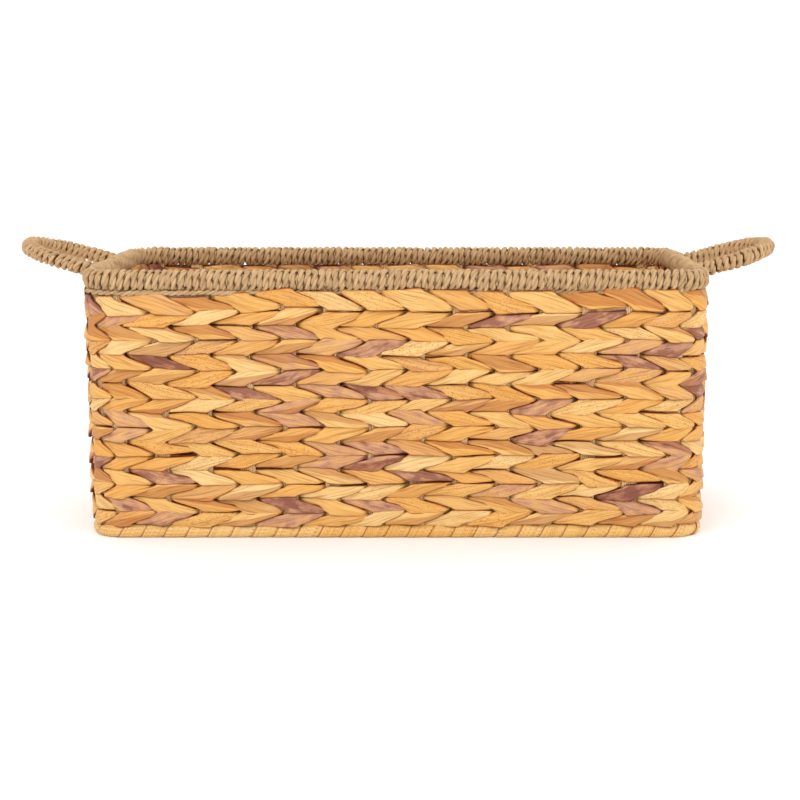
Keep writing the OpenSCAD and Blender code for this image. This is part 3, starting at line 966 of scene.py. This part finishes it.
# The strip is one long smooth leaf, so its edges get less painted shade than a leaf's: across is scaled
# down before the material darkens the edges.
softened_shade_across = put(lapping, MATH, [ring_across, 0.93], operation="MULTIPLY")
wound = put(lapping, MATH, [turned, math.tau], operation="MULTIPLY")
wound = put(lapping, MATH, [wound, take["Radius"]], operation="MULTIPLY")
for name, value, kind in (("leaf", leaf, ARROWS), ("along", wound, NUMBERS),
                          ("across", softened_shade_across, NUMBERS), ("fibre", sideways, NUMBERS)):
    tube = put(lapping, STORE, {"Geometry": tube, "Name": name, "Value": value}, **kind)
tube = put(lapping, "GeometryNodeSetPosition", {"Geometry": tube, "Position": place})
close_tree(lapping, tube, take["Finish"])
print("wound strip nodes:", len(lapping.nodes))

# %% Base edge
LAP_PITCH = 16 * MM
LAP_POINTS = 24  # round each turn
HALF_STRIP = 0.45 * MM  # half the strip's thickness
low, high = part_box("base_edge_wrap")
edge_r = high.y - mid_y
points = loop_points(high.z - edge_r, RIM_POINTS)
points.append(points[0])
length = path_length(points)
turns = round(length / LAP_PITCH)
piece = grow("base_edge_strip", path_mesh("base_edge_strip", points, closed=False), lapping,
             turns=turns, points=turns * LAP_POINTS + 1, radius=edge_r - HALF_STRIP,
             loop_length=length, finish=hyacinth)
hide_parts("base_edge_wrap")
print("base edge:", turns, "turns,", len(piece.data.polygons), "faces")

# %% [markdown]
# ## Stem and wire
# The stakes and the packing in the rim are peeled plant stems, pale, and ribbed along their length.
# The wire is lacquered brown, so that it doesn't show through the weave.

# %% Stem and wire materials
stem, tree, shader = new_material("peeled stem")
place = put(tree, "ShaderNodeTexCoord").outputs["Object"]
in_mm = put(tree, VECTOR, [place, (1000.0, 1000.0, 1000.0)], operation="MULTIPLY")
upright = put(tree, VECTOR, [in_mm, (1.1, 1.1, 0.06)], operation="MULTIPLY")
grain = put(tree, NOISE, {"Vector": upright, "Scale": 1.0, "Detail": 4.0})
body = put(tree, RAMP, [grain], stops=[(0.30, "#dcaa6a"), (0.50, "#f2cc92"), (0.70, "#fae2b4")])
# Painted shade: the hollows between the ribs are painted darker.
ridge = put(tree, TRAIT, attribute_name="ridge").outputs["Fac"]
hollow = put(tree, RANGE, [ridge, -0.2, -1.0, 0.0, 0.9])
rib_shaded = put(tree, MIX, {0: hollow, 6: body, 7: linear("#a8703c")}, **TINT)
tree.links.new(rib_shaded.outputs[2], shader.inputs["Base Color"])
bump = put(tree, "ShaderNodeBump", {"Strength": 0.5, "Distance": 0.0004, "Height": grain})
tree.links.new(bump.outputs[0], shader.inputs["Normal"])
shader.inputs["Roughness"].default_value = 0.6

wire, tree, shader = new_material("brown lacquered iron wire")
place = put(tree, "ShaderNodeTexCoord").outputs["Object"]
in_mm = put(tree, VECTOR, [place, (1000.0, 1000.0, 1000.0)], operation="MULTIPLY")
runs = put(tree, NOISE, {"Vector": in_mm, "Scale": 0.35, "Detail": 4.0})
body = put(tree, RAMP, [runs], stops=[(0.35, "#4a3220"), (0.60, "#60442c"), (0.75, "#7a5a3c")])
tree.links.new(body.outputs[0], shader.inputs["Base Color"])
bump = put(tree, "ShaderNodeBump", {"Strength": 0.2, "Distance": 0.0003, "Height": runs})
tree.links.new(bump.outputs[0], shader.inputs["Normal"])
shader.inputs["Roughness"].default_value = 0.38
shader.inputs["Coat Weight"].default_value = 0.3

# %% [markdown]
# ## The upright stakes
# A stake is a flat bundle of thin stems, and its pale ribs show in the gaps where the leaves meet.
# A plain rod would leave those gaps dark. One bundle is a ribbed oval drawn straight up, and the
# tree stands a copy at every stake of a side, turned to face out of the basket.

# %% The stake tree
standing, take = new_tree("standing stakes", {
    "Height": 0.19, "Half width": 0.0052, "Half depth": 0.0022, "Ribs": 20.0, "Rib depth": 0.07,
    "Finish": ""})
here = put(standing, "GeometryNodeInputPosition")
ring = put(standing, CIRCLE, {"Resolution": 120, "Radius": 1.0})
ring = put(standing, STORE, {"Geometry": ring, "Name": "ring", "Value": here}, **ARROWS)
top = put(standing, JOIN, [None, None, take["Height"]])
line = put(standing, "GeometryNodeMeshLine", {"Count": 2, "Offset": top})
line = put(standing, "GeometryNodeMeshToCurve", [line])
tube = put(standing, "GeometryNodeCurveToMesh",
           {"Curve": line, "Profile Curve": ring, "Fill Caps": True})
ring = put(standing, NAMED, {"Name": "ring"}, **ARROW)
ring_across, ring_out, _ = put(standing, XYZ, [ring]).outputs
spin = put(standing, MATH, [ring_out, ring_across], operation="ARCTAN2")
ridge = put(standing, MATH, [spin, take["Ribs"]], operation="MULTIPLY")
ridge = put(standing, MATH, [ridge], operation="COSINE")
swell = put(standing, MATH, [ridge, take["Rib depth"], 1.0], operation="MULTIPLY_ADD")
tube = put(standing, STORE, {"Geometry": tube, "Name": "ridge", "Value": ridge}, **NUMBERS)
wide = put(standing, MATH, [ring_across, take["Half width"]], operation="MULTIPLY")
wide = put(standing, MATH, [wide, swell], operation="MULTIPLY")
deep = put(standing, MATH, [ring_out, take["Half depth"]], operation="MULTIPLY")
deep = put(standing, MATH, [deep, swell], operation="MULTIPLY")
_, _, tall = put(standing, XYZ, [here]).outputs
goal = put(standing, JOIN, [wide, deep, tall])
tube = put(standing, "GeometryNodeSetPosition", {"Geometry": tube, "Position": goal})
out = put(standing, NAMED, {"Name": "out"}, **ARROW)
out_x, out_y, _ = put(standing, XYZ, [out]).outputs
facing = put(standing, MATH, [out_y, out_x], operation="ARCTAN2")
facing = put(standing, MATH, [facing, math.pi / 2], operation="SUBTRACT")
facing = put(standing, JOIN, [None, None, facing])
stood = put(standing, "GeometryNodeInstanceOnPoints",
            {"Points": take["Path"], "Instance": tube, "Rotation": facing})
close_tree(standing, stood, take["Finish"])
print("stake nodes:", len(standing.nodes))

# %% Stakes
places = loop_points(front_low.z, 1)
first = 0
# The front and the back take the bundles that hide the corner posts too.
for side, count in (("front", LONG_STAKES + 2), ("right", END_STAKES), ("back", LONG_STAKES + 2),
                    ("left", END_STAKES)):
    node = "stakes_" + side
    piece = grow("ribbed_" + node, path_mesh(node, places[first:first + count], closed=False), standing,
                 height=front_high.z - front_low.z, finish=stem)
    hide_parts(node)
    first += count
print("stakes on the last side:", count)

# %% [markdown]
# ## What stays as the CAD made it
# The wire frame, the cross stakes of the base and the packing in the rim have the right shape, so
# they only get finishes.

# %% Finishes on the frame's own nodes
for name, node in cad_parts.items():
    if name.startswith("frame_") or name in ("base_stakes", "rim_core"):
        finish = wire if name.startswith("frame_") else stem
        node.data.materials.clear()
        node.data.materials.append(finish)
        print(name, "is", finish.name)
